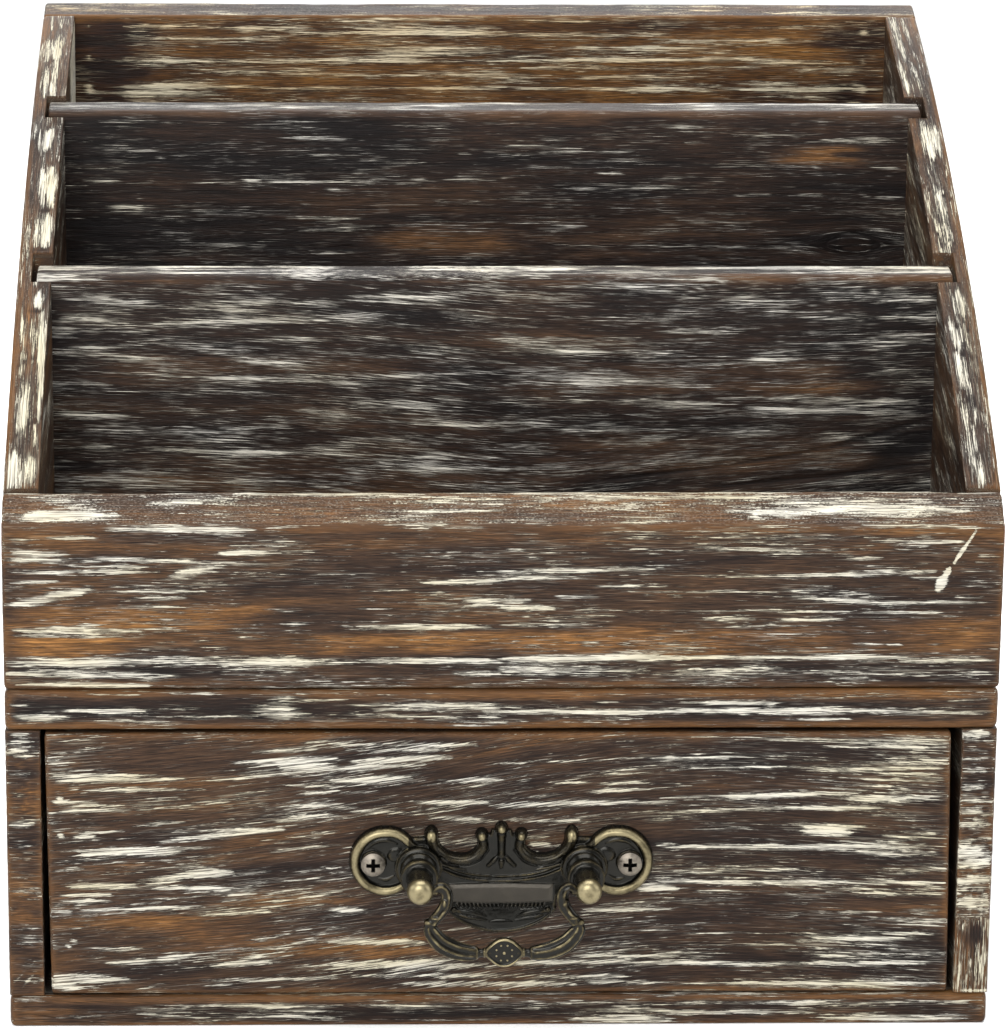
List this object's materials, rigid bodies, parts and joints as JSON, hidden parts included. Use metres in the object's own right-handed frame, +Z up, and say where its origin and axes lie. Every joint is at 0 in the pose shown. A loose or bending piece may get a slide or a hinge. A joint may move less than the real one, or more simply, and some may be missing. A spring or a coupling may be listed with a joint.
{
  "type": "envelope sorter with drawer",
  "caption": "Rustic wooden desk sorter with sloping sides, upright envelope compartments and a shallow drawer with a swinging bail pull below.",
  "frame": {"origin": "middle of the cabinet's footprint, on the surface it stands on", "axes": "+X to the right seen from the front, +Y to the back, +Z up"},
  "size_m": [0.25, 0.2019, 0.2413],
  "materials": {
    "torched_wood": "torched and limewashed, semi-gloss",
    "drawer_wood": "stained, satin",
    "plywood": "stained, satin",
    "antique_brass": "antiqued, worn bright on the high spots",
    "screw_steel": "nickel plated",
    "brad_steel": "bright drawn wire"
  },
  "bodies": {
    "cabinet": {"sorter_left_side": "torched_wood", "sorter_right_side": "torched_wood", "sorter_front_panel": "torched_wood", "sorter_front_divider": "torched_wood", "sorter_rear_divider": "torched_wood", "sorter_back_panel": "torched_wood", "cabinet_top_board": "torched_wood", "cabinet_bottom_board": "torched_wood", "cabinet_left_side": "torched_wood", "cabinet_right_side": "torched_wood", "cabinet_back_board": "torched_wood", "sorter_front_brads": "brad_steel", "sorter_back_brads": "brad_steel", "cabinet_top_brads": "brad_steel", "cabinet_bottom_brads": "brad_steel", "cabinet_back_brads": "brad_steel", "sorter_base_screws": "screw_steel"},
    "drawer": {"drawer_front": "torched_wood", "drawer_left_side": "drawer_wood", "drawer_right_side": "drawer_wood", "drawer_back": "drawer_wood", "drawer_bottom": "plywood", "pull_backplate": "antique_brass", "pull_left_post": "antique_brass", "pull_right_post": "antique_brass", "pull_screws": "screw_steel", "drawer_front_brads": "brad_steel", "drawer_back_brads": "brad_steel", "drawer_bottom_brads": "brad_steel"},
    "bail": {"pull_bail": "antique_brass"}
  },
  "joints": [
    {"name": "drawer_slide", "type": "slide", "parent": "cabinet", "child": "drawer", "axis": [0, -1, 0], "range_m": [0, 0.115]},
    {"name": "bail_swing", "type": "hinge", "parent": "drawer", "child": "bail", "pos_m": [0, -0.1095, 0.0429], "axis": [-1, 0, 0], "range_deg": [-55, 110]}
  ]
}
